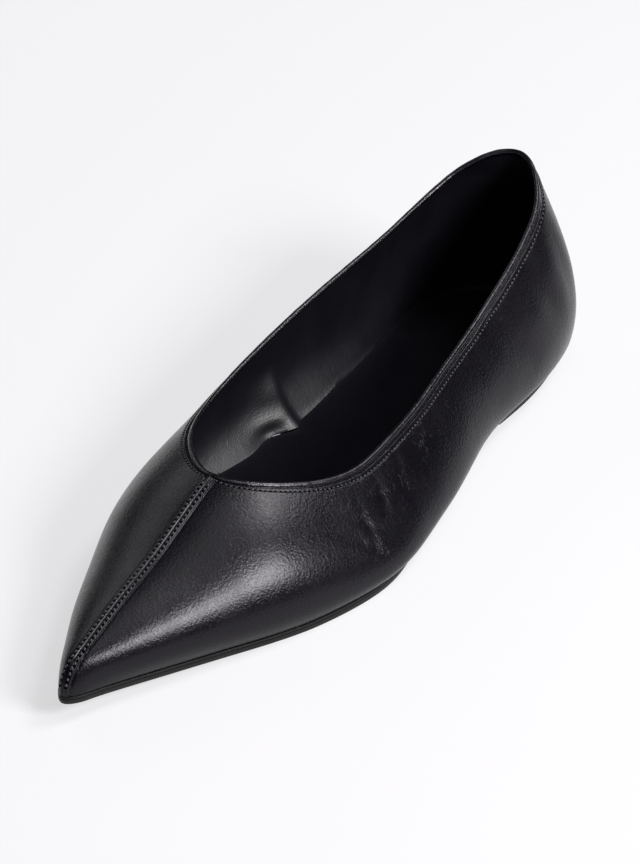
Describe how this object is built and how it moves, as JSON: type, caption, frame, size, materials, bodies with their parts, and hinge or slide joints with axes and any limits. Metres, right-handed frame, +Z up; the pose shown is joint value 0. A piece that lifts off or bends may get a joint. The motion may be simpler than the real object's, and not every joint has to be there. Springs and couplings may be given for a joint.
{
  "type": "pointed toe flat shoe",
  "caption": "Black leather pointed toe flat for the left foot, open at the collar, with a raised seam along the vamp and a low heel block.",
  "frame": {"origin": "on the ground under the middle of the shoe's bounding box", "axes": "+Z up; the toe points along -Y and the heel along +Y; +X towards the outer side of the left foot"},
  "size_m": [0.0876, 0.2694, 0.0676],
  "materials": {
    "upper_leather": "smooth semi-gloss black leather",
    "binding_leather": "satin black leather",
    "insole_lining": "matte black lining leather",
    "outsole_rubber": "matte black",
    "heel_rubber": "matte black"
  },
  "bodies": {
    "root": {"upper": "upper_leather", "topline_binding": "binding_leather", "insole": "insole_lining", "outsole": "outsole_rubber", "heel": "heel_rubber"}
  },
  "joints": []
}
